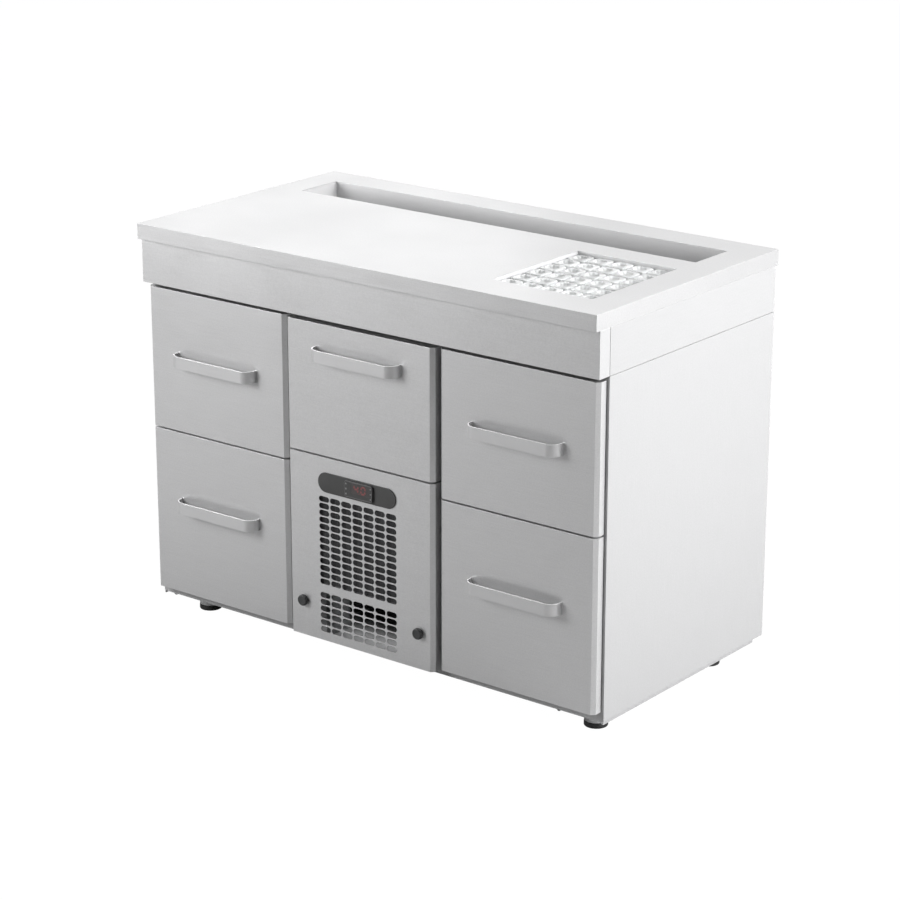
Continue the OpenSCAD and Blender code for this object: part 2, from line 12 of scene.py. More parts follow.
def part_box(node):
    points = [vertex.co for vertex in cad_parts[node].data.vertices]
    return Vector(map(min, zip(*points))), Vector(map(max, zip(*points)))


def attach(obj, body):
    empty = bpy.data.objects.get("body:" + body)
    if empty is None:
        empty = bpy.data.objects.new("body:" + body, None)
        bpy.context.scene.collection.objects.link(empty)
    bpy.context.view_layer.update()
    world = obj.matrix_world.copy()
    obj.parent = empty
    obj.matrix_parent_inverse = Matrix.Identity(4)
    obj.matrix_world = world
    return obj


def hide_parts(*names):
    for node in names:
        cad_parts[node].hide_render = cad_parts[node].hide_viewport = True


MM = 0.001
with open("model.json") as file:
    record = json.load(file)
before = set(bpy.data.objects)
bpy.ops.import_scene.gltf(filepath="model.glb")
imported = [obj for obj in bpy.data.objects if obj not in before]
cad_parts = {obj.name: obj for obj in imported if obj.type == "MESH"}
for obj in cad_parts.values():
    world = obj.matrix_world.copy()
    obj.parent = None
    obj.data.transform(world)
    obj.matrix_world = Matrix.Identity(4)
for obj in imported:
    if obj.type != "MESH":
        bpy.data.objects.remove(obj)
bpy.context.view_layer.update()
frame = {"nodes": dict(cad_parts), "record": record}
NODES = frame["nodes"]
BODY_OF = {n: b for b, members in frame["record"]["behaviour"]["bodies"].items() for n in members}
DRAWERS = ("ul", "ll", "mid", "ur", "lr")


# ---------- materials ----------

class Graph:
    """A small wrapper that keeps node building short."""

    def __init__(self, name):
        self.mat = bpy.data.materials.new(name)
        self.mat.use_nodes = True
        self.nodes = self.mat.node_tree.nodes
        self.links = self.mat.node_tree.links
        self.bsdf = self.nodes["Principled BSDF"]
        self.pos = self.nodes.new("ShaderNodeTexCoord").outputs["Object"]

    def link(self, a, b):
        self.links.new(a, b)

    def mapped(self, scale):
        node = self.nodes.new("ShaderNodeMapping")
        node.inputs["Scale"].default_value = scale
        self.link(self.pos, node.inputs["Vector"])
        return node.outputs["Vector"]

    def noise(self, scale, detail=2.0, rough=0.5, vector=None):
        node = self.nodes.new("ShaderNodeTexNoise")
        node.inputs["Scale"].default_value = scale
        node.inputs["Detail"].default_value = detail
        node.inputs["Roughness"].default_value = rough
        self.link(vector or self.pos, node.inputs["Vector"])
        return node.outputs["Fac"]

    def remap(self, value, lo, hi, from_lo=0.3, from_hi=0.7):
        node = self.nodes.new("ShaderNodeMapRange")
        node.inputs["From Min"].default_value = from_lo
        node.inputs["From Max"].default_value = from_hi
        node.inputs["To Min"].default_value = lo
        node.inputs["To Max"].default_value = hi
        self.link(value, node.inputs["Value"])
        return node.outputs["Result"]

    def facing_up(self):
        """1 on faces that look up, 0 on the others."""
        split = self.nodes.new("ShaderNodeSeparateXYZ")
        self.link(self.nodes.new("ShaderNodeNewGeometry").outputs["True Normal"], split.inputs[0])
        return self.remap(split.outputs["Z"], 0.0, 1.0, 0.3, 0.8)

    def math(self, op, a, b):
        node = self.nodes.new("ShaderNodeMath")
        node.operation = op
        for value, socket in ((a, node.inputs[0]), (b, node.inputs[1])):
            if isinstance(value, (int, float)):
                socket.default_value = value
            else:
                self.link(value, socket)
        return node.outputs["Value"]

    def mix(self, fac, a, b):
        node = self.nodes.new("ShaderNodeMix")
        node.data_type = "RGBA"
        self.link(fac, node.inputs["Factor"])
        for value, socket in ((a, node.inputs[6]), (b, node.inputs[7])):
            if isinstance(value, tuple):
                socket.default_value = (*value, 1.0)
            else:
                self.link(value, socket)
        return node.outputs[2]

    def bump(self, height, strength, distance):
        node = self.nodes.new("ShaderNodeBump")
        node.inputs["Strength"].default_value = strength
        node.inputs["Distance"].default_value = distance
        self.link(height, node.inputs["Height"])
        self.link(node.outputs["Normal"], self.bsdf.inputs["Normal"])

    def set(self, **values):
        for key, value in values.items():
            socket = self.bsdf.inputs[key.replace("_", " ")]
            if isinstance(value, (int, float)):
                socket.default_value = value
            elif isinstance(value, tuple):
                socket.default_value = (*value, 1.0)
            else:
                self.link(value, socket)


def shade(tone, k):
    return tuple(min(1.0, c * k) for c in tone)


def steel(name, tone, grain, rough=0.36, metallic=0.62, contrast=0.1, painted_top_shade=1.0):
    """Satin brushed sheet. grain is the axis the brush marks run along: 0, 1 or 2.

    The up-facing tone factor scales the tone of the faces that look up: painted shade, standing in for the
    shadow on a flange under an overhang.
    """
    g = Graph(name)
    stretch = [1500.0, 1500.0, 1500.0]
    stretch[grain] = 16.0
    brush = g.noise(1.0, 3.0, 0.6, g.mapped(stretch))
    speckle = g.noise(300.0, 2.0, 0.7)
    broad = g.noise(4.5, 4.0, 0.55)
    fine = g.math("ADD", g.math("MULTIPLY", brush, 0.5), g.math("MULTIPLY", speckle, 0.5))
    streaked = g.mix(g.remap(fine, 0.0, 1.0), shade(tone, 1 - contrast), shade(tone, 1 + contrast))
    colour = g.mix(g.remap(broad, 0.0, 0.25), streaked, shade(tone, 0.93))
    # Painted shade: faces that look up are darkened, as in the shadow of an overhang.
    if painted_top_shade != 1.0:
        colour = g.mix(g.facing_up(), colour, shade(tone, painted_top_shade))
    g.set(
        Base_Color=colour,
        Metallic=metallic,
        Roughness=g.math("ADD", g.remap(brush, rough - 0.05, rough + 0.05), g.remap(broad, 0.0, 0.05)),
    )
    g.bump(fine, 0.12, 0.00004)
    return g.mat


def plastic(name, tone, rough=0.5, grain_scale=1600.0, depth=0.00003, variation=0.12):
    """Moulded plastic or rubber with a spark-eroded skin."""
    g = Graph(name)
    grain = g.noise(grain_scale, 2.0, 0.6)
    broad = g.noise(18.0, 3.0)
    g.set(
        Base_Color=g.mix(g.remap(broad, 0.0, 1.0), shade(tone, 1 - variation), shade(tone, 1 + variation)),
        Roughness=g.remap(g.math("ADD", g.math("MULTIPLY", grain, 0.5), g.math("MULTIPLY", broad, 0.5)),
                          rough - 0.07, rough + 0.07),
    )
    g.bump(grain, 0.35, depth)
    return g.mat


def enamel(name, tone):
    """Glossy paint with a slight orange peel and patches of dust."""
    g = Graph(name)
    peel = g.noise(220.0, 2.0)
    dust = g.noise(30.0, 5.0, 0.7)
    g.set(
        Base_Color=g.mix(g.remap(dust, 0.0, 0.5), shade(tone, 1.0), shade(tone, 2.2)),
        Roughness=g.remap(dust, 0.18, 0.4),
        Coat_Weight=0.4,
    )
    g.bump(peel, 0.2, 0.00008)
    return g.mat


def copper(name):
    """Drawn tube that has darkened unevenly."""
    g = Graph(name)
    tarnish = g.noise(28.0, 5.0, 0.65)
    draw = g.noise(900.0, 2.0)
    g.set(
        Base_Color=g.mix(g.remap(tarnish, 0.0, 0.8), (0.78, 0.42, 0.28), (0.30, 0.15, 0.09)),
        Metallic=1.0,
        Roughness=g.remap(tarnish, 0.22, 0.45),
    )
    g.bump(draw, 0.1, 0.00003)
    return g.mat


def clear_block(name):
    """Ice-clear moulding: frosted in patches, with flow lines and small bubbles."""
    g = Graph(name)
    flow = g.noise(75.0, 3.0, 0.6)
    frost = g.noise(30.0, 4.0, 0.7)
    bubbles = g.noise(420.0, 1.0)
    g.set(
        Base_Color=(0.97, 0.98, 0.985),
        Roughness=g.remap(frost, 0.03, 0.12, 0.4, 0.7),
        Transmission_Weight=g.remap(frost, 0.6, 0.42, 0.4, 0.7),
        IOR=1.31,
    )
    g.bump(g.math("ADD", flow, g.math("MULTIPLY", bubbles, 0.15)), 0.06, 0.0006)
    return g.mat


def glow(name, tone, strength):
    """Lit segment behind smoked plastic, unevenly bright."""
    g = Graph(name)
    uneven = g.noise(700.0, 2.0)
    colour = g.mix(g.remap(uneven, 0.0, 1.0), shade(tone, 0.8), shade(tone, 1.1))
    g.set(Base_Color=colour, Roughness=0.4, Emission_Color=colour, Emission_Strength=strength)
    return g.mat


GREY = (0.60, 0.60, 0.605)
SIDE_GREY = (0.40, 0.40, 0.404)
MATERIALS = {
    "sheet_x": steel("sheet_x", GREY, 0),
    # Fronts under the apron: the same sheet with painted shade on its up-facing faces, their tone times
    # 0.4.
    "sheet_painted_top_shade": steel("sheet_painted_top_shade", GREY, 0, painted_top_shade=0.4),
    "sheet_y": steel("sheet_y", SIDE_GREY, 1, metallic=0.22),
    "sheet_z": steel("sheet_z", SIDE_GREY, 2, metallic=0.22),
    "well": steel("well", (0.57, 0.57, 0.575), 0, rough=0.42, metallic=0.35, contrast=0.03),
    "box": steel("box", (0.52, 0.52, 0.53), 1, rough=0.33, metallic=0.7),
    "liner": steel("liner", (0.40, 0.40, 0.405), 0, rough=0.42, metallic=0.45),
    "pan": steel("pan", (0.43, 0.43, 0.435), 0, rough=0.42, metallic=0.45),
    "handle": steel("handle", (0.60, 0.60, 0.605), 0, rough=0.38, metallic=0.6, contrast=0.015),
    "cup": steel("cup", (0.62, 0.62, 0.625), 2, rough=0.3, metallic=0.8),
    "zinc": steel("zinc", (0.42, 0.43, 0.45), 1, rough=0.4, metallic=0.8, contrast=0.1),
    "fins": steel("fins", (0.34, 0.345, 0.355), 2, rough=0.55, metallic=0.3, contrast=0.15),
    "alu_fins": steel("alu_fins", (0.62, 0.63, 0.64), 2, rough=0.4, metallic=0.9),
    "copper": copper("copper_tube"),
    "gasket": plastic("gasket_rubber", (0.10, 0.10, 0.103), rough=0.6, grain_scale=700.0),
    "rubber": plastic("foot_tread", (0.022, 0.022, 0.022), rough=0.68, grain_scale=900.0),
    "black": plastic("black_panel", (0.046, 0.046, 0.046), rough=0.5),
    "filter": plastic("filter_felt", (0.095, 0.095, 0.098), rough=0.8, grain_scale=500.0, variation=0.2),
    "bezel": plastic("bezel_plastic", (0.042, 0.042, 0.042), rough=0.42),
    "knob": plastic("knob_plastic", (0.032, 0.033, 0.034), rough=0.45),
    # The ridge's grey, lighter than the bezel's, is a painted highlight for the light line along the
    # bezel's edge.
    "ridge": plastic("ridge_plastic_painted_highlight", (0.11, 0.11, 0.112), rough=0.4),
    "key": plastic("key_plastic", (0.24, 0.24, 0.24), rough=0.5),
    "fan": plastic("fan_plastic", (0.02, 0.02, 0.02), rough=0.5, grain_scale=800.0),
    "cord": plastic("cord_rubber", (0.018, 0.018, 0.018), rough=0.6, grain_scale=1200.0),
    "smoked": plastic("smoked_window", (0.055, 0.05, 0.05), rough=0.3, depth=0.000005),
    "enamel": enamel("compressor_enamel", (0.012, 0.012, 0.013)),
    "clear": clear_block("clear_block"),
    "digits": glow("digit_glow", (0.16, 0.045, 0.045), 0.35),
}


# ---------- geometry ----------

def set_material(obj, key):
    obj.data.materials.clear()
    obj.data.materials.append(MATERIALS[key])


def soften(obj, width, segments=2, angle=28.0):
    """Rounds the hard edges by width and keeps the flat faces flat."""
    bevel = obj.modifiers.new("edges", "BEVEL")
    bevel.width = width
    bevel.segments = segments
    bevel.limit_method = "ANGLE"
    bevel.angle_limit = math.radians(angle)
    bevel.harden_normals = True
    bevel.miter_outer = "MITER_ARC"


def dress(node, key, width=0.8 * MM, segments=2):
    """A CAD node that stays: joined faces, softened edges and its material."""
    obj = NODES[node]
    mesh = obj.data
    if "custom_normal" in mesh.attributes:
        mesh.attributes.remove(mesh.attributes["custom_normal"])
    set_material(obj, key)
    if not width:
        mesh.shade_flat()
        return obj
    mesh.shade_smooth()
    weld = obj.modifiers.new("weld", "WELD")
    weld.merge_threshold = 0.00001
    flat = obj.modifiers.new("flat", "DECIMATE")
    flat.decimate_type = "DISSOLVE"
    flat.angle_limit = math.radians(0.4)
    soften(obj, width, segments, angle=32.0)
    return obj


def piece(name, verts, faces, body, slot, key, replaces=(), smooth=True, edge=0.0, segments=2):
    """A new mesh piece on a body, standing for the CAD nodes it replaces."""
    mesh = bpy.data.meshes.new(name)
    mesh.from_pydata([tuple(v) for v in verts], [], faces)
    mesh.validate()
    bm = bmesh.new()
    bm.from_mesh(mesh)
    bmesh.ops.recalc_face_normals(bm, faces=bm.faces)
    bm.to_mesh(mesh)
    bm.free()
    mesh.update()
    if smooth:
        mesh.shade_smooth()
        mesh.set_sharp_from_angle(angle=math.radians(35))
    obj = bpy.data.objects.new(name, mesh)
    bpy.context.scene.collection.objects.link(obj)
    set_material(obj, key)
    if edge:
        soften(obj, edge, segments)
    if smooth:
        shading = obj.modifiers.new("shading", "WEIGHTED_NORMAL")
        shading.keep_sharp = True
        shading.weight = 90
    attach(obj, body)
    if replaces:
        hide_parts(*replaces)
    return obj


class Shape:
    """Vertices and faces gathered from several closed forms."""

    def __init__(self):
        self.verts = []
        self.faces = []

    def add(self, verts, faces, matrix=None):
        base = len(self.verts)
        matrix = matrix or Matrix.Identity(4)
        self.verts += [matrix @ Vector(v) for v in verts]
        self.faces += [tuple(i + base for i in f) for f in faces]

    def box(self, lo, hi):
        (x0, y0, z0), (x1, y1, z1) = lo, hi
        verts = [(x, y, z) for x in (x0, x1) for y in (y0, y1) for z in (z0, z1)]
        faces = [(0, 1, 3, 2), (4, 6, 7, 5), (0, 4, 5, 1), (2, 3, 7, 6), (0, 2, 6, 4), (1, 5, 7, 3)]
        self.add(verts, faces)

    def lathe(self, profile, matrix, steps=64, ripple=0, depth=0.0):
        """Turns (radius, height) points about Z. ripple flutes of the given depth cut the rim."""
        rings = []
        verts = []
        for r, h, *flute in profile:
            if r < 1e-9:
                rings.append([len(verts)])
                verts.append((0.0, 0.0, h))
                continue
            ring = []
            for k in range(steps):
                a = 2 * math.pi * k / steps
                cut = depth * (0.5 + 0.5 * math.cos(a * ripple)) ** 3 if flute and ripple else 0.0
                ring.append(len(verts))
                verts.append(((r - cut) * math.cos(a), (r - cut) * math.sin(a), h))
            rings.append(ring)
        faces = []
        for a, b in zip(rings, rings[1:]):
            for k in range(steps):
                n = (k + 1) % steps
                if len(a) == 1 and len(b) > 1:
                    faces.append((a[0], b[n], b[k]))
                elif len(b) == 1 and len(a) > 1:
                    faces.append((a[k], a[n], b[0]))
                elif len(a) > 1:
                    faces.append((a[k], a[n], b[n], b[k]))
        self.add(verts, faces, matrix)

    def sweep(self, path, section, closed=False, up=None):
        """Moves a closed section of (side, up) points along a path."""
        count = len(path)
        frames = []
        normal = up
        for i, p in enumerate(path):
            before = path[i - 1] if closed or i else p
            after = path[(i + 1) % count] if closed or i < count - 1 else p
            tangent = (after - before).normalized()
            if up is None:
                if normal is None:
                    normal = Vector((0, 0, 1)) if abs(tangent.z) < 0.9 else Vector((1, 0, 0))
                normal = (normal - tangent * normal.dot(tangent)).normalized()
            side = tangent.cross(normal).normalized()
            stretch = 1.0
            if up is not None and (closed or 0 < i < count - 1):
                turn = (path[i] - before).normalized().dot(tangent)
                stretch = 1.0 / max(turn, 0.5)
            frames.append((p, side * stretch, normal))
        verts = [p + side * s + nor * u for p, side, nor in frames for s, u in section]
        m = len(section)
        faces = []
        for i in range(count if closed else count - 1):
            j = (i + 1) % count
            for k in range(m):
                n = (k + 1) % m
                faces.append((i * m + k, i * m + n, j * m + n, j * m + k))
        if not closed:
            faces.append(tuple(reversed(range(m))))
            faces.append(tuple((count - 1) * m + k for k in range(m)))
        self.add(verts, faces)

    def piece(self, *args, **kwargs):
        return piece(args[0], self.verts, self.faces, *args[1:], **kwargs)


def ring_section(radius, steps=12):
    return [(radius * math.cos(2 * math.pi * k / steps), radius * math.sin(2 * math.pi * k / steps))
            for k in range(steps)]


def slab_section(width, height, radius, steps=3):
    """Rounded rectangle, as (side, up) points."""
    points = []
    for cx, cy, start in ((1, 1, 0), (-1, 1, 90), (-1, -1, 180), (1, -1, 270)):
        for k in range(steps + 1):
            a = math.radians(start + 90 * k / steps)
            points.append((cx * (width / 2 - radius) + radius * math.cos(a),
                           cy * (height / 2 - radius) + radius * math.sin(a)))
    return points


def rounded(points, radius, steps=8, closed=False):
    """The path with each inner corner replaced by an arc."""
    points = [Vector(p) for p in points]
    count = len(points)
    path = []
    for i, p in enumerate(points):
        if not closed and i in (0, count - 1):
            path.append(p)
            continue
        a = (points[i - 1] - p).normalized()
        b = (points[(i + 1) % count] - p).normalized()
        half = math.acos(max(-1.0, min(1.0, a.dot(b)))) / 2
        reach = radius / math.tan(half)
        centre = p + (a + b).normalized() * (radius / math.sin(half))
        start = p + a * reach - centre
        end = p + b * reach - centre
        angle = start.angle(end)
        for k in range(steps + 1):
            t = k / steps
            path.append(centre + (start * math.sin((1 - t) * angle) + end * math.sin(t * angle))
                        / math.sin(angle))
    return path


def along_y(x, y, z):
    """Local +Z points along +Y."""
    return Matrix.Translation((x, y, z)) @ Matrix.Rotation(math.radians(-90), 4, "X")


# ---------- cabinet sheet metal ----------

for node in ("worktop", "front_apron"):
    dress(node, "sheet_x", 0.5 * MM)
for node in ("insulated_shelves", "dividers"):
    dress(node, "liner", 0.4 * MM)
dress("base_pan", "pan", 0.4 * MM)
dress("side_aprons", "sheet_y", 0.25 * MM)
dress("rear_wall", "sheet_x", 0.0)
for node in ("side_panel_left", "side_panel_right"):
    dress(node, "sheet_z", 0.25 * MM)
for node in ("bottle_well", "ice_well"):
    dress(node, "well", 0.7 * MM)
dress("machine_panel", "sheet_x", 0.35 * MM)
dress("foot_mounts", "zinc", 0.5 * MM)
dress("runner_rails", "zinc", 0.3 * MM)
dress("fan_motors", "zinc", 0.8 * MM)
dress("compressor", "enamel", 1.2 * MM)
dress("evaporator", "alu_fins", 0.2 * MM)
dress("controller_plate", "black", 0.8 * MM)
dress("controller_body", "bezel", 0.9 * MM, 3)
dress("display_window", "smoked", 0.15 * MM)
for node in ("key_1", "key_2", "key_3"):
    dress(node, "key", 0.35 * MM, 3)


# ---------- drawers ----------

HANDLE_T = 3 * MM
HANDLE_BEND = 22.5 * MM
RIM_R = 2.4 * MM

for d in DRAWERS:
    body = "drawer_" + d
    # The upper fronts take the sheet with painted shade on their up-facing top flanges, under the apron.
    dress("front_" + d, "sheet_x" if d in ("ll", "lr") else "sheet_painted_top_shade", 0.45 * MM, 3)
    dress("box_" + d, "box", 0.6 * MM)
    dress("slides_" + d, "zinc", 0.3 * MM)

    # Handle: flat bar bent at both ends
    lo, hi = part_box("handle_" + d)
    mid_z = (lo.z + hi.z) / 2
    x0, x1 = lo.x + HANDLE_T / 2, hi.x - HANDLE_T / 2
    y0 = lo.y + HANDLE_T / 2
    path = rounded([(x0, hi.y, mid_z), (x0, y0, mid_z), (x1, y0, mid_z), (x1, hi.y, mid_z)],
                   HANDLE_BEND, 16)
    bar = Shape()
    bar.sweep(path, slab_section(HANDLE_T, hi.z - lo.z, 0.4 * MM, 3), up=Vector((0, 0, 1)))
    bar.piece("grip_" + d, body, "handle_steel", "handle", replaces=("handle_" + d,))

    # Gasket: a flat base and a hollow-looking bulb that meets the cabinet
    lo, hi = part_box("gasket_" + d)
    inset = 5 * MM
    y = (lo.y + hi.y) / 2
    corners = [(lo.x + inset, y, lo.z + inset), (hi.x - inset, y, lo.z + inset),
               (hi.x - inset, y, hi.z - inset), (lo.x + inset, y, hi.z - inset)]
    half = (hi.y - lo.y) / 2
    lip = [(-4.8, -half / MM), (4.8, -half / MM), (4.8, -half / MM + 1.2), (3.2, -half / MM + 1.8),
           (3.6, 0.4), (3.0, half / MM - 1.0), (1.2, half / MM), (-1.2, half / MM),
           (-3.0, half / MM - 1.0), (-3.6, 0.4), (-3.2, -half / MM + 1.8), (-4.8, -half / MM + 1.2)]
    seal = Shape()
    seal.sweep(rounded(corners, 6 * MM, 6, closed=True),
               [(s * MM, u * MM) for s, u in lip], closed=True, up=Vector((0, 1, 0)))
    seal.piece("seal_" + d, body, "gasket_grey", "gasket", replaces=("gasket_" + d,))

    # Rolled rim round the open top of the box
    lo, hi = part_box("box_" + d)
    wall = 1 * MM
    x0, x1 = lo.x + wall, hi.x - wall
    corners = [(x0, lo.y + wall, hi.z), (x1, lo.y + wall, hi.z),
               (x1, hi.y - wall, hi.z), (x0, hi.y - wall, hi.z)]
    rim = Shape()
    rim.sweep(rounded(corners, 3 * MM, 5, closed=True), ring_section(RIM_R, 14),
              closed=True, up=Vector((0, 0, 1)))
    rim.piece("rim_" + d, body, "stainless_well", "handle")


# ---------- ice insert ----------

def block_form(shape, centre, half, z0, z1, rng):
    """A clear block with rounded edges, a slightly uneven top and a round dimple in it."""
    edge = 2.8 * MM
    dimple_r = half * 0.62
    dimple_d = 6 * MM
    flute = 0.06
    flutes = 9
    steps = 72
    lean = [rng.uniform(-0.2, 0.2) * MM for _ in range(4)]

    def square(r, power=7.0):
        ring = []
        for k in range(steps):
            a = 2 * math.pi * (k + 0.5) / steps
            c, s = math.cos(a), math.sin(a)
            cut = r * (1 - 0.4 * flute * (0.5 + 0.5 * math.cos(2 * flutes * a)))
            ring.append((cut * math.copysign(abs(c) ** (2 / power), c),
                         cut * math.copysign(abs(s) ** (2 / power), s)))
        return ring

    def circle(r):
        ring = []
        for k in range(steps):
            a = 2 * math.pi * (k + 0.5) / steps
            cut = r * (1 + flute * math.cos(flutes * a))
            ring.append((cut * math.cos(a), cut * math.sin(a)))
        return ring

    taper = 0.97
    levels = [(square((half - edge) * taper), z0), (square(half * taper), z0 + edge),
              (square(half), z1 - edge), (square(half - edge * 0.3), z1 - edge * 0.3),
              (square(half - edge, 5.0), z1), (circle(dimple_r + 1.2 * MM), z1),
              (circle(dimple_r), z1 - 1.0 * MM), (circle(dimple_r * 0.86), z1 - dimple_d * 0.6),
              (circle(dimple_r * 0.6), z1 - dimple_d * 0.9), (circle(dimple_r * 0.25), z1 - dimple_d)]
    verts = []
    for ring, z in levels:
        for x, y in ring:
            tilt = (lean[0] * x + lean[1] * y) / half if z > z1 - dimple_d - 1e-6 else 0.0
            verts.append((centre.x + x, centre.y + y, z + tilt - abs(lean[2])))
    faces = []
    for i in range(len(levels) - 1):
        for k in range(steps):
            n = (k + 1) % steps
            faces.append((i * steps + k, i * steps + n, (i + 1) * steps + n, (i + 1) * steps + k))
    faces.append(tuple(reversed(range(steps))))
    faces.append(tuple((len(levels) - 1) * steps + k for k in range(steps)))
    shape.add(verts, faces)


ICE_COLS, ICE_ROWS = 5, 6
BLOCK_HALF = 22 * MM
rng = random.Random(11)
lo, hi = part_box("ice_insert")
well_lo, well_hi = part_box("ice_well")
sheet = 2 * MM
pitch_x = (well_hi.x - well_lo.x - 2 * sheet) / ICE_COLS
pitch_y = (well_hi.y - well_lo.y - 2 * sheet) / ICE_ROWS
blocks = Shape()
web_top = lo.z + 3 * MM
for i in range(ICE_COLS):
    for j in range(ICE_ROWS):
        centre = Vector((well_lo.x + sheet + (i + 0.5) * pitch_x,
                         well_lo.y + sheet + (j + 0.5) * pitch_y, 0))
        block_form(blocks, centre, BLOCK_HALF, web_top + 0.2 * MM, hi.z, rng)
blocks.box(lo, (hi.x, hi.y, web_top))
blocks.piece("ice_blocks_clear", "ice_blocks", "clear_block", "clear", replaces=("ice_insert",))


# ---------- controller ----------

SEGMENTS = {"0": "abcdef", "4": "bcfg"}


def digit(shape, glyph, x, z, w, h, y0, y1):
    """Seven-segment figure made of pointed bars. x, z is its lower left corner."""
    t = w * 0.27
    gap = t * 0.16
    rows = {"a": h, "g": h / 2, "d": 0.0}
    slant = 0.08

    def bar(points):
        pts = [(x + px + slant * pz, z + pz) for px, pz in points]
        verts = [(px, y, pz) for y in (y0, y1) for px, pz in pts]
        n = len(pts)
        faces = [tuple(range(n)), tuple(reversed(range(n, 2 * n)))]
        faces += [(k, k + n, (k + 1) % n + n, (k + 1) % n) for k in range(n)]
        shape.add(verts, faces)

    for seg in SEGMENTS[glyph]:
        if seg in rows:
            zc = min(max(rows[seg], t / 2), h - t / 2)
            a, b = t * 0.5 + gap, w - t * 0.5 - gap
            bar([(a, zc), (a + t / 2, zc - t / 2), (b - t / 2, zc - t / 2), (b, zc),
                 (b - t / 2, zc + t / 2), (a + t / 2, zc + t / 2)])
        else:
            xc = t / 2 if seg in "ef" else w - t / 2
            a, b = (h / 2 + gap, h - t / 2 - gap) if seg in "fb" else (t / 2 + gap, h / 2 - gap)
            bar([(xc, a), (xc + t / 2, a + t / 2), (xc + t / 2, b - t / 2), (xc, b),
                 (xc - t / 2, b - t / 2), (xc - t / 2, a + t / 2)])


win_lo, win_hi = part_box("display_window")
win_x = (win_lo.x + win_hi.x) / 2
win_z = (win_lo.z + win_hi.z) / 2
digits = Shape()
digit_w, digit_h = 14 * MM, 19 * MM
digit_x, digit_pitch = win_x - 19.5 * MM, 19 * MM
digit_z = win_z - digit_h / 2
dot_x, dot_w = win_x - 4.3 * MM, 2 * MM
front_y, back_y = win_lo.y - 0.15 * MM, win_lo.y + 0.1 * MM
for k, glyph in enumerate("40"):
    digit(digits, glyph, digit_x + k * digit_pitch, digit_z, digit_w, digit_h, front_y, back_y)
digits.box((dot_x, front_y, digit_z), (dot_x + dot_w, back_y, digit_z + dot_w))
digits.piece("display_digits", "machine_door", "display_smoke", "digits", smooth=False, edge=0.05 * MM)

# Three small lamps on the right, level with the keys on the left
key_lo, key_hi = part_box("key_2")
bezel_lo, bezel_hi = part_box("controller_body")
bezel_x = (bezel_lo.x + bezel_hi.x) / 2
key_x = (key_lo.x + key_hi.x) / 2
lamps = Shape()
for node in ("key_1", "key_2", "key_3"):
    a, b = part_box(node)
    lamps.lathe([(0, 0.0), (1.6 * MM, 0.0), (1.6 * MM, 0.25 * MM), (1.2 * MM, 0.5 * MM), (0, 0.62 * MM)],
                Matrix.Translation((2 * bezel_x - key_x + 0.9 * MM, bezel_lo.y + 0.1 * MM, (a.z + b.z) / 2))
                @ Matrix.Rotation(math.radians(90), 4, "X"), 24)
lamps.piece("signal_lamps", "machine_door", "key_grey", "key")

# Raised frame round the controller face; its plastic is lighter than the bezel's, a painted highlight for
# the light line along the bezel's edge
ridge_in = 1.3 * MM
x0, x1 = bezel_lo.x + ridge_in, bezel_hi.x - ridge_in
z0, z1 = bezel_lo.z + ridge_in, bezel_hi.z - ridge_in
frame_path = rounded([(x, bezel_lo.y, z) for x, z in ((x0, z0), (x1, z0), (x1, z1), (x0, z1))],
                     3.7 * MM, 8, closed=True)
ridge = Shape()
ridge.sweep(frame_path, slab_section(1.4 * MM, 0.9 * MM, 0.4 * MM, 3), closed=True, up=Vector((0, 1, 0)))
ridge.piece("bezel_ridge", "machine_door", "black_panel", "ridge")


# Pleated filter mat in a thin frame, behind the upper slots
panel_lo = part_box("machine_panel")[0]
mat_lo = Vector((-116 * MM, panel_lo.y + 5.5 * MM, 187 * MM))
mat_hi = Vector((105 * MM, panel_lo.y + 9.5 * MM, 396 * MM))
PLEATS = 46
mat = Shape()
wave = []
for k in range(PLEATS * 4 + 1):
    x = mat_lo.x + (mat_hi.x - mat_lo.x) * k / (PLEATS * 4)
    wave.append((x, (mat_lo.y + mat_hi.y) / 2 + 1.2 * MM * math.sin(math.pi * k / 2 + 0.3)))
count = len(wave)
verts = [(x, y + off, z) for off in (-0.4 * MM, 0.4 * MM) for z in (mat_lo.z, mat_hi.z) for x, y in wave]
faces = []
for k in range(count - 1):
    a, b, c, d = k, k + count, k + 2 * count, k + 3 * count
    faces += [(a, a + 1, b + 1, b), (c + 1, c, d, d + 1), (a + 1, a, c, c + 1), (b, b + 1, d + 1, d)]
faces += [(0, count, 3 * count, 2 * count), (2 * count - 1, count - 1, 3 * count - 1, 4 * count - 1)]
mat.add(verts, faces)
rail = 2.5 * MM
mat_y = mat_lo.y + 2 * MM
corners = ((mat_lo.x, mat_lo.z), (mat_hi.x, mat_lo.z), (mat_hi.x, mat_hi.z), (mat_lo.x, mat_hi.z))
mat.sweep(rounded([(x, mat_y, z) for x, z in corners], 4 * MM, 4, closed=True),
          slab_section(2 * rail, 4 * MM, 0.8 * MM, 2), closed=True, up=Vector((0, 1, 0)))
mat.piece("filter_mat", "machine_door", "black_panel", "filter")


# ---------- knobs ----------

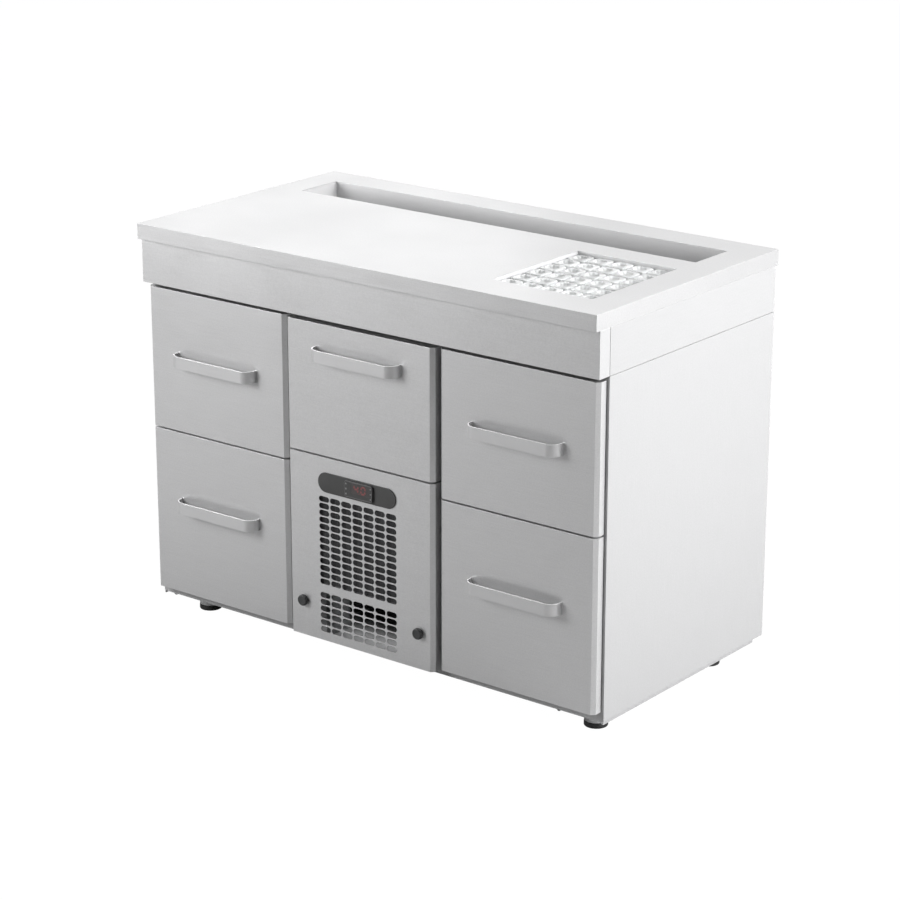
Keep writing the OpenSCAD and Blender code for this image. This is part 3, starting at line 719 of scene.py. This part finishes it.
for side in ("left", "right"):
    node = "knob_" + side
    lo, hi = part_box(node)
    x, z, r = (lo.x + hi.x) / 2, (lo.z + hi.z) / 2, (hi.x - lo.x) / 2
    grip = 10 * MM
    shaft = 4 * MM
    knob = Shape()
    knob.lathe([(0, hi.y - lo.y), (shaft - 0.5 * MM, hi.y - lo.y), (shaft, hi.y - lo.y - 0.5 * MM),
                (shaft, grip), (r - 1.4 * MM, grip), (r - 0.9 * MM, grip - 0.5 * MM),
                (r - 0.1 * MM, grip - 2.2 * MM, 1), (r, grip - 3.0 * MM, 1), (r, 2.4 * MM, 1),
                (r - 0.3 * MM, 1.5 * MM, 1), (r - 1.3 * MM, 0.5 * MM), (r - 2.2 * MM, 0.1 * MM),
                (r - 3.4 * MM, 0.0), (r - 4.6 * MM, 0.35 * MM), (0, 0.9 * MM)],
               along_y(x, lo.y, z), 144, ripple=18, depth=0.7 * MM)
    knob.piece("grip_knob_" + side, BODY_OF[node], "black_knob", "knob", replaces=(node,))


# ---------- feet ----------

for tag in ("fl", "fr", "bl", "br"):
    node = "foot_" + tag
    lo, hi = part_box(node)
    x, y, r = (lo.x + hi.x) / 2, (lo.y + hi.y) / 2, (hi.x - lo.x) / 2
    body = BODY_OF[node]
    place = Matrix.Translation((x, y, 0))
    pad = Shape()
    pad.lathe([(0, 0.6 * MM), (r - 9 * MM, 0.6 * MM), (r - 8.4 * MM, 0.0), (r - 2.2 * MM, 0.0),
               (r - 0.8 * MM, 0.5 * MM), (r, 1.8 * MM), (r, 9.6 * MM), (r - 0.4 * MM, 11.2 * MM),
               (r - 1.4 * MM, 11.9 * MM), (0, 11.9 * MM)], place, 72)
    pad.piece("pad_" + tag, body, "foot_black", "rubber", replaces=(node,))
    cup = Shape()
    c = r - 0.5 * MM
    cup.lathe([(0, 12.0 * MM), (c - 0.8 * MM, 12.0 * MM), (c, 12.8 * MM), (c, 38.5 * MM),
               (c - 0.8 * MM, 41.0 * MM), (c - 2.6 * MM, 42.6 * MM), (c - 4.5 * MM, 43.0 * MM),
               (0, 43.0 * MM)], place, 72)
    cup.piece("cup_" + tag, body, "foot_black", "cup")
    stud = Shape()
    thread = [(0, 40.0 * MM), (5.9 * MM, 40.0 * MM)]
    turns = 24
    start, end = 44.0 * MM, hi.z - 1.0 * MM
    for k in range(turns):
        z = start + (end - start) * k / turns
        thread += [(5.95 * MM, z), (5.35 * MM, z + (end - start) / turns * 0.5)]
    thread += [(5.6 * MM, end), (5.0 * MM, hi.z), (0, hi.z)]
    stud.lathe(thread, place, 32)
    stud.piece("stud_" + tag, body, "foot_black", "zinc")


# ---------- cooling unit ----------

# Condenser: close fins, tube rows with return bends and folded end plates
lo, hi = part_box("condenser")
coil_z = 180 * MM
fin_x = 127 * MM
tube_r = 4.5 * MM
tube_in = 16 * MM
coil = Shape()
FINS = 84
for k in range(FINS + 1):
    x = -fin_x + 2 * fin_x * k / FINS
    coil.box((x - 0.2 * MM, lo.y + 1 * MM, coil_z + 1 * MM), (x + 0.2 * MM, hi.y - 1 * MM, hi.z - 1 * MM))
rows = 8
row_dz = (hi.z - coil_z) / rows
for k in range(rows):
    z = coil_z + (k + 0.5) * row_dz
    near, far = lo.y + tube_in, hi.y - tube_in
    for y in (near, far):
        coil.sweep([Vector((-fin_x - 4 * MM, y, z)), Vector((fin_x + 4 * MM, y, z))],
                   ring_section(tube_r, 16))
    side = 1 if k % 2 else -1
    start, turn = side * (fin_x + 3 * MM), side * (fin_x + 12 * MM)
    bend = rounded([(start, near, z), (turn, near, z), (turn, far, z), (start, far, z)], 7 * MM, 6)
    coil.sweep(bend, ring_section(tube_r, 16))
for side in (-1, 1):
    a, b = sorted((side * fin_x, side * (fin_x + 3 * MM)))
    coil.box((a, lo.y, lo.z), (b, hi.y, hi.z))
    a, b = sorted((side * (fin_x + 1.5 * MM), side * (fin_x + 18 * MM)))
    for y in (lo.y, hi.y - 2 * MM):
        coil.box((a, y, lo.z + 0.5 * MM), (b, y + 2 * MM, hi.z - 0.5 * MM))
for z, thick in ((hi.z - 2 * MM, 1.8 * MM), (coil_z, 1.5 * MM)):
    coil.box((-fin_x - 1 * MM, lo.y + 0.5 * MM, z), (fin_x + 1 * MM, hi.y - 0.5 * MM, z + thick))
coil.piece("condenser_coil", "cabinet", "coil_dark", "fins", replaces=("condenser",))


# Heights of the fans' shafts
FAN_Z = {"condenser_fan": 290 * MM, "evaporator_fan": 620 * MM}


def fan_form(name, node, blades, slot):
    """Hub with a domed nose and curved, twisted blades."""
    lo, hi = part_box(node)
    y_mid = (lo.y + hi.y) / 2
    half = (hi.y - lo.y) / 2
    z_mid = FAN_Z[node]
    radius = (hi.z - lo.z) / 2
    hub = radius / 4
    form = Shape()
    form.lathe([(3.2 * MM, -half), (hub - 1 * MM, -half), (hub, -half + 1 * MM), (hub, half - 3 * MM),
                (hub - 1 * MM, half - 1 * MM), (hub - 4 * MM, half), (3.2 * MM, half), (3.2 * MM, -half)],
               along_y(0, y_mid, z_mid), 48)
    across, out = 9, 12
    thick = 0.9 * MM
    for b in range(blades):
        turn = 2 * math.pi * b / blades
        front, back = [], []
        for i in range(out + 1):
            t = i / out
            r = hub - 1.5 * MM + (radius * 0.985 - hub) * t
            chord = (0.62 + 0.5 * math.sin(math.pi * min(1.0, 0.25 + 0.7 * t))) * (1.1 if i < out else 1.0)
            pitch = math.radians(46 - 24 * t)
            for k in range(across + 1):
                s = k / across - 0.5
                sweep = 0.34 * t * t
                arc = s * chord * 0.72 + sweep
                depth = -math.tan(pitch) * s * chord * hub * 1.15
                camber = (0.25 - s * s) * 4.5 * MM
                depth = max(-half + thick, min(half - thick, depth + camber))
                a = turn + arc
                for store, off in ((front, -thick), (back, thick)):
                    store.append((r * math.cos(a), y_mid + depth + off, z_mid + r * math.sin(a)))
        n = across + 1
        verts = front + back
        shift = len(front)
        faces = []
        for i in range(out):
            for k in range(across):
                q = (i * n + k, i * n + k + 1, (i + 1) * n + k + 1, (i + 1) * n + k)
                faces.append(q)
                faces.append(tuple(shift + v for v in reversed(q)))
        edge = [i * n for i in range(out + 1)] + [out * n + k for k in range(1, n)]
        edge += [i * n + across for i in range(out - 1, -1, -1)] + [k for k in range(across - 1, 0, -1)]
        for p, q in zip(edge, edge[1:] + edge[:1]):
            faces.append((q, p, p + shift, q + shift))
        form.add(verts, faces)
    form.piece(name, BODY_OF[node], slot, "fan", replaces=(node,))


fan_form("condenser_blades", "condenser_fan", 5, "fan_plastic")
fan_form("evaporator_blades", "evaporator_fan", 5, "fan_plastic")

# Refrigerant tubes with smooth bends, on the CAD runs
pipe_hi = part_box("refrigerant_pipes")[1]
comp_lo, comp_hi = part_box("compressor")
cond_lo, cond_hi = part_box("condenser")
evap_lo, evap_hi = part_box("evaporator")
PIPE_R = 4 * MM
comp_x = -50 * MM
comp_y = comp_lo.y + 74 * MM
cond_y = (cond_lo.y + cond_hi.y) / 2
evap_y = (evap_lo.y + evap_hi.y) / 2
unit_x = 130 * MM
run_x = pipe_hi.x - PIPE_R
lane_y = pipe_hi.y - PIPE_R
top_z = 430 * MM
feed_z, suction_z = 230 * MM, 180 * MM
inlet_z, outlet_z = 600 * MM, 640 * MM
runs = [
    [(comp_x, comp_y, comp_hi.z), (comp_x, comp_y, top_z), (comp_x, cond_y, top_z),
     (comp_x, cond_y, cond_hi.z)],
    [(unit_x, cond_y, feed_z), (run_x, cond_y, feed_z), (run_x, lane_y, feed_z), (run_x, lane_y, inlet_z),
     (run_x, evap_y, inlet_z), (unit_x, evap_y, inlet_z)],
    [(-unit_x, evap_y, outlet_z), (-run_x, evap_y, outlet_z), (-run_x, lane_y, outlet_z),
     (-run_x, lane_y, suction_z), (comp_x, lane_y, suction_z), (comp_x, comp_y + 84 * MM, suction_z)],
]
tubes = Shape()
for run in runs:
    path = rounded(run, 14 * MM, 10)
    tubes.sweep(path, ring_section(PIPE_R, 16))
tubes.piece("copper_runs", "cabinet", "copper", "copper", replaces=("refrigerant_pipes",))


# ---------- power cord ----------

lo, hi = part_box("power_cord")
cord_x, cord_z = lo.x + 9 * MM, 150 * MM
rear_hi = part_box("rear_wall")[1]
cord_r = 3.5 * MM
cord_y = hi.y - 6 * MM
plug_x = 420 * MM
cord = Shape()
cord.sweep(rounded([(cord_x, rear_hi.y, cord_z), (cord_x, cord_y, cord_z), (cord_x, cord_y, cord_r),
                    (plug_x + 2 * MM, cord_y, cord_r)], 5.4 * MM, 8), ring_section(cord_r, 16))
cord.lathe([(3.4 * MM, 0.0), (9 * MM, 0.0), (9 * MM, 3 * MM), (7 * MM, 4 * MM), (5 * MM, 7.5 * MM),
            (3.4 * MM, 8 * MM), (3.4 * MM, 0.0)], along_y(cord_x, rear_hi.y, cord_z), 36)
plug_y, plug_z = hi.y - 9 * MM, 9 * MM
turn_y = Matrix.Rotation(math.radians(90), 4, "Y")
plug_axis = Matrix.Translation((plug_x, plug_y, plug_z)) @ turn_y
cord.lathe([(0, -6 * MM), (3.9 * MM, -6 * MM), (4.6 * MM, 0.0), (7.4 * MM, 6 * MM), (7.8 * MM, 14 * MM),
            (8.8 * MM, 20 * MM), (9.0 * MM, 31 * MM), (8.2 * MM, 34 * MM), (0, 34 * MM)], plug_axis, 40)
cord.piece("cord_and_plug", "cabinet", "cord_black", "cord", replaces=("power_cord",))
pins = Shape()
for z in (4 * MM, 14 * MM):
    pins.lathe([(0, 0), (2 * MM, 0), (2 * MM, 17 * MM), (1.2 * MM, 18 * MM), (0, 18 * MM)],
               Matrix.Translation((plug_x + 34 * MM, plug_y, z)) @ turn_y, 20)
pins.piece("plug_pins", "cabinet", "zinc_steel", "cup")


# ---------- stage, light and camera ----------

def aim(obj, location, target):
    obj.location = location
    obj.rotation_euler = (Vector(target) - Vector(location)).to_track_quat("-Z", "Y").to_euler()
    bpy.context.scene.collection.objects.link(obj)


floor_mesh = bpy.data.meshes.new("floor")
reach = 30.0
floor_mesh.from_pydata([(-reach, -reach, 0), (reach, -reach, 0), (reach, reach, 0), (-reach, reach, 0)], [],
                       [(0, 1, 2, 3)])
floor = bpy.data.objects.new("floor", floor_mesh)
floor.location.z = -0.2 * MM
bpy.context.scene.collection.objects.link(floor)
floor_look = bpy.data.materials.new("floor_white")
floor_look.use_nodes = True
tree = floor_look.node_tree
paint = tree.nodes["Principled BSDF"]
paint.inputs["Base Color"].default_value = (0.32, 0.32, 0.32, 1)
paint.inputs["Roughness"].default_value = 0.9
seen = tree.nodes.new("ShaderNodeLightPath")
lit = tree.nodes.new("ShaderNodeEmission")
lit.inputs["Strength"].default_value = 1.05
blend = tree.nodes.new("ShaderNodeMixShader")
share = tree.nodes.new("ShaderNodeMath")
share.operation = "MULTIPLY"
share.inputs[1].default_value = 0.95
tree.links.new(seen.outputs["Is Camera Ray"], share.inputs[0])
tree.links.new(share.outputs[0], blend.inputs["Fac"])
tree.links.new(paint.outputs["BSDF"], blend.inputs[1])
tree.links.new(lit.outputs["Emission"], blend.inputs[2])
tree.links.new(blend.outputs[0], tree.nodes["Material Output"].inputs["Surface"])
floor_mesh.materials.append(floor_look)

# Soft studio: a faint glow all round and broad lobes, each (direction, sharpness, strength)
AMBIENT = 0.06
LOBES = (
    ((-1.0, 0.0, 0.35), 4.0, 0.62),
    ((-0.585, 0.749, 0.312), 6.0, 1.08),
    ((0.585, 0.749, 0.2), 6.0, 1.2),
)
# Square lamps aimed at the middle of the object: name, place, side, watts
MIDDLE = (0.0, 0.0, 0.45)
LAMPS = (
    ("front_left_far", (-2.1, -3.1, 1.75), 1.5, 70.0),
    ("front_left_near", (-1.5, -1.6, 1.4), 0.9, 21.5),
    ("right", (3.0, 0.5, 2.0), 2.0, 226.0),
    ("back_left", (-2.0, 1.9, 1.9), 1.4, 4.0),
    ("left_low", (-1.7, 0.6, 0.1), 1.2, 5.0),
)
for name, place, size, watts in LAMPS:
    lamp_data = bpy.data.lights.new(name, "AREA")
    lamp_data.energy = watts
    lamp_data.size = size
    lamp = bpy.data.objects.new(name, lamp_data)
    lamp.visible_camera = False
    aim(lamp, place, MIDDLE)

# Light that spills under the cooling unit, behind the lower slots
spill_data = bpy.data.lights.new("spill", "AREA")
spill_data.shape = "RECTANGLE"
spill_data.size, spill_data.size_y = 0.26, 0.05
spill_data.spread = math.radians(75)
spill_data.energy = 0.048
spill = bpy.data.objects.new("spill", spill_data)
spill.location = (-0.05, -0.215, 0.15)
spill.visible_camera = False
bpy.context.scene.collection.objects.link(spill)

world = bpy.data.worlds.new("studio")
world.use_nodes = True
bpy.context.scene.world = world
wt = world.node_tree
direction = wt.nodes.new("ShaderNodeTexCoord").outputs["Generated"]
total = None
for toward, sharpness, strength in LOBES:
    dot = wt.nodes.new("ShaderNodeVectorMath")
    dot.operation = "DOT_PRODUCT"
    dot.inputs[1].default_value = Vector(toward).normalized()
    wt.links.new(direction, dot.inputs[0])
    value = dot.outputs["Value"]
    for operation, number in (("MAXIMUM", 0.0), ("POWER", sharpness), ("MULTIPLY", strength)):
        step = wt.nodes.new("ShaderNodeMath")
        step.operation = operation
        step.inputs[1].default_value = number
        wt.links.new(value, step.inputs[0])
        value = step.outputs["Value"]
    add = wt.nodes.new("ShaderNodeMath")
    add.inputs[0].default_value = AMBIENT
    if total is not None:
        wt.links.new(total, add.inputs[0])
    wt.links.new(value, add.inputs[1])
    total = add.outputs["Value"]
back = wt.nodes["Background"]
back.inputs["Color"].default_value = (1, 1, 1, 1)
wt.links.new(total, back.inputs["Strength"])
white = wt.nodes.new("ShaderNodeBackground")
white.inputs["Color"].default_value = (1, 1, 1, 1)
white.inputs["Strength"].default_value = 1.05
path_node = wt.nodes.new("ShaderNodeLightPath")
either = wt.nodes.new("ShaderNodeMixShader")
wt.links.new(path_node.outputs["Is Camera Ray"], either.inputs["Fac"])
wt.links.new(back.outputs[0], either.inputs[1])
wt.links.new(white.outputs[0], either.inputs[2])
wt.links.new(either.outputs[0], wt.nodes["World Output"].inputs["Surface"])

view = bpy.data.cameras.new("view")
view.lens = 112.2
view.sensor_width = 36.0
view.clip_end = 100.0
camera = bpy.data.objects.new("view", view)
aim(camera, (3.5255, -4.5099, 2.3101), (0, 0.001, 0.429))
bpy.context.scene.camera = camera
bpy.context.scene.view_settings.view_transform = "Standard"
